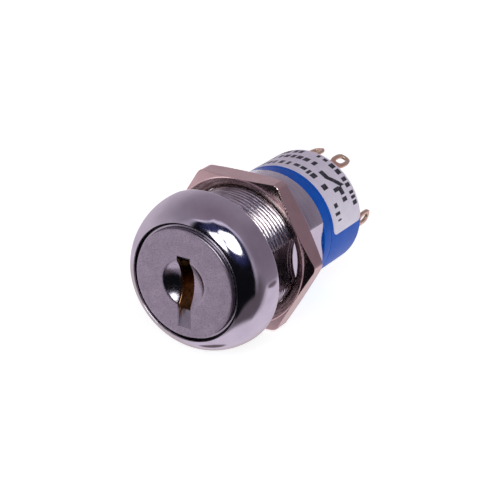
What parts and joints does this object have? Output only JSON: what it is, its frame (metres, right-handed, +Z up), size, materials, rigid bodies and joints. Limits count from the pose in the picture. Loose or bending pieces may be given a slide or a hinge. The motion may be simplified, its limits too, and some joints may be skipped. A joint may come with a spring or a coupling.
{
  "type": "selector key switch",
  "caption": "Panel-mount key switch: domed chrome head with key slot, threaded double-D bushing with hex nut, blue switch case and solder terminals.",
  "frame": {"origin": "on the switch's axis, in the plane of the head's back face that seats on the panel", "axes": "+Y along the axis towards the terminals, +Z up with the key slot upright, +X to the right seen from the face"},
  "size_m": [0.026, 0.0395, 0.0234],
  "materials": {
    "chrome_plate": "bright chrome plate on die-cast zinc",
    "nickel_plate": "bright nickel plate",
    "satin_steel": "satin stainless sheet",
    "brass": "machined",
    "pin_brass": "bright turned",
    "spring_steel": "bright",
    "blue_plastic": "moulded, semi-gloss",
    "label_film": "printed film",
    "black_plastic": "moulded phenolic",
    "epoxy": "cast resin",
    "contact_copper": "silver-faced copper",
    "terminal_plate": "gold-flashed, tinned tips"
  },
  "bodies": {
    "housing": {"lock_housing": "chrome_plate", "spring_cover": "brass", "case_cover": "blue_plastic", "switch_case": "blue_plastic", "rating_label": "label_film", "terminal_base": "black_plastic", "potting_seal": "epoxy", "terminal_1": "terminal_plate", "terminal_2": "terminal_plate", "terminal_3": "terminal_plate", "terminal_4": "terminal_plate", "terminal_5": "terminal_plate", "terminal_6": "terminal_plate", "detent_spring_1": "spring_steel", "detent_spring_2": "spring_steel", "pin_spring_1": "spring_steel", "pin_spring_2": "spring_steel", "pin_spring_3": "spring_steel", "pin_spring_4": "spring_steel"},
    "nut": {"hex_nut": "nickel_plate"},
    "plug": {"key_plug": "brass", "face_cap": "satin_steel", "stop_washer": "spring_steel", "plug_clip": "spring_steel", "drive_tail": "spring_steel"},
    "switch_rotor": {"rotor": "black_plastic", "bridge_contact_1": "contact_copper", "bridge_contact_2": "contact_copper", "contact_spring_1": "spring_steel", "contact_spring_2": "spring_steel"},
    "key_pin_1_body": {"key_pin_1": "pin_brass"},
    "driver_1_body": {"driver_pin_1": "pin_brass"},
    "key_pin_2_body": {"key_pin_2": "pin_brass"},
    "driver_2_body": {"driver_pin_2": "pin_brass"},
    "key_pin_3_body": {"key_pin_3": "pin_brass"},
    "driver_3_body": {"driver_pin_3": "pin_brass"},
    "key_pin_4_body": {"key_pin_4": "pin_brass"},
    "driver_4_body": {"driver_pin_4": "pin_brass"}
  },
  "joints": [
    {"name": "plug_turn", "type": "hinge", "parent": "housing", "child": "plug", "pos_m": [0, 0, 0], "axis": [0, 1, 0], "range_deg": [0, 90]},
    {"name": "rotor_turn", "type": "hinge", "parent": "housing", "child": "switch_rotor", "pos_m": [0, 0.0212, 0], "axis": [0, 1, 0], "range_deg": [0, 90], "deforming": ["detent_spring_1", "detent_spring_2"]},
    {"name": "nut_travel", "type": "slide", "parent": "housing", "child": "nut", "axis": [0, 1, 0], "range_m": [-0.0069, 0.0024]},
    {"name": "key_pin_1_drop", "type": "slide", "parent": "plug", "child": "key_pin_1_body", "axis": [0, 0, 1], "range_m": [-0.0007, 0]},
    {"name": "driver_1_lift", "type": "slide", "parent": "housing", "child": "driver_1_body", "axis": [0, 0, 1], "range_m": [0, 0.0008], "stiffness_N_per_m": 250, "springref_m": -0.0008, "deforming": ["pin_spring_1"]},
    {"name": "key_pin_2_drop", "type": "slide", "parent": "plug", "child": "key_pin_2_body", "axis": [0, 0, 1], "range_m": [-0.0012, 0]},
    {"name": "driver_2_lift", "type": "slide", "parent": "housing", "child": "driver_2_body", "axis": [0, 0, 1], "range_m": [0, 0.0008], "stiffness_N_per_m": 250, "springref_m": -0.0008, "deforming": ["pin_spring_2"]},
    {"name": "key_pin_3_drop", "type": "slide", "parent": "plug", "child": "key_pin_3_body", "axis": [0, 0, 1], "range_m": [-0.00085, 0]},
    {"name": "driver_3_lift", "type": "slide", "parent": "housing", "child": "driver_3_body", "axis": [0, 0, 1], "range_m": [0, 0.0008], "stiffness_N_per_m": 250, "springref_m": -0.0008, "deforming": ["pin_spring_3"]},
    {"name": "key_pin_4_drop", "type": "slide", "parent": "plug", "child": "key_pin_4_body", "axis": [0, 0, 1], "range_m": [-0.0014, 0]},
    {"name": "driver_4_lift", "type": "slide", "parent": "housing", "child": "driver_4_body", "axis": [0, 0, 1], "range_m": [0, 0.0008], "stiffness_N_per_m": 250, "springref_m": -0.0008, "deforming": ["pin_spring_4"]}
  ],
  "couplings": [
    {"joint": "rotor_turn", "follows": "plug_turn", "ratio": 1}
  ]
}
